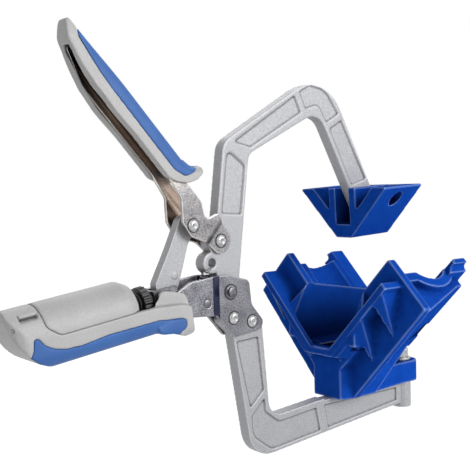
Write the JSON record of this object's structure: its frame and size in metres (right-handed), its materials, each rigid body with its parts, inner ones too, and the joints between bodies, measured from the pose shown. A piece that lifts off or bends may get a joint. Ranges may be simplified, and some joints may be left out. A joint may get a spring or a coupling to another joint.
{
  "type": "corner_clamp",
  "caption": "Hand-held corner clamp with a toggle lever, a ribbed ninety degree vee jaw and a pivoting wedge pad that presses a panel corner into the vee.",
  "frame": {"origin": "The line where the two vee faces would meet at the bottom of the vee, at the middle of the jaw's length: the corner of the work rests there", "axes": "+X along the vee away from the grips, +Z out of the open vee, +Y to the left of someone who looks along +X"},
  "size_m": [0.3125, 0.1532, 0.2594],
  "materials": {
    "cast_arm": "cast, fine grain",
    "blue_casting": "glossy blue paint over a casting",
    "zinc_plate": "zinc plated, speckled",
    "bright_steel": "bright",
    "dark_steel": "dull",
    "grey_plastic": "fine texture",
    "blue_plastic": "soft",
    "black_plastic": "knurled"
  },
  "bodies": {
    "frame": {"body_plate_near": "zinc_plate", "body_plate_far": "zinc_plate", "lower_arm": "cast_arm", "corner_jaw": "blue_casting", "jaw_screw": "dark_steel", "jaw_washer": "bright_steel", "frame_rivets": "bright_steel", "pivot_pin": "bright_steel", "spring_anchor": "bright_steel", "lower_grip": "grey_plastic", "lower_inlay": "blue_plastic", "barrel_cover": "grey_plastic", "guide_bush": "dark_steel", "jam_plates": "dark_steel", "return_spring": "bright_steel"},
    "arm": {"upper_arm": "cast_arm"},
    "pad": {"wedge_pad": "blue_casting", "pad_pin": "bright_steel"},
    "lever_body": {"lever": "zinc_plate", "lever_grip": "grey_plastic", "lever_inlay": "blue_plastic", "lever_pin": "bright_steel", "link_pin": "bright_steel"},
    "link_body": {"toggle_link": "cast_arm", "foot_pin": "bright_steel"},
    "plunger_body": {"plunger": "dark_steel", "main_spring": "dark_steel"},
    "wheel_body": {"pressure_wheel": "black_plastic"}
  },
  "joints": [
    {"name": "arm_pivot", "type": "hinge", "parent": "frame", "child": "arm", "pos_m": [-0.117, 0, 0.054], "axis": [0, 1, 0], "range_deg": [0, 24], "stiffness_Nm_per_rad": 0.8, "springref_deg": -45.84, "deforming": ["return_spring"]},
    {"name": "pad_pivot", "type": "hinge", "parent": "arm", "child": "pad", "pos_m": [0.002, 0, 0.1065], "axis": [0, 1, 0], "range_deg": [-32, 2]},
    {"name": "lever_pivot", "type": "hinge", "parent": "arm", "child": "lever_body", "pos_m": [-0.1232, 0, 0.085], "axis": [0, 1, 0], "range_deg": [-64.3, 0.2]},
    {"name": "link_pivot", "type": "hinge", "parent": "lever_body", "child": "link_body", "pos_m": [-0.1447, 0, 0.09521], "axis": [0, 1, 0], "range_deg": [-0.2, 71.3]},
    {"name": "plunger_slide", "type": "slide", "parent": "frame", "child": "plunger_body", "axis": [0.9903, 0, 0.1392], "range_m": [-0.0089, 0.0001], "deforming": ["main_spring"]},
    {"name": "wheel_turn", "type": "hinge", "parent": "plunger_body", "child": "wheel_body", "pos_m": [-0.162, 0, 0.0545], "axis": [0.9903, 0, 0.1392], "continuous": true}
  ],
  "couplings": [
    {"joint": "lever_pivot", "follows": "arm_pivot", "ratio": -2.6667},
    {"joint": "link_pivot", "follows": "arm_pivot", "ratio": 2.9583},
    {"joint": "plunger_slide", "follows": "arm_pivot", "m_per_rad": -0.020818}
  ]
}
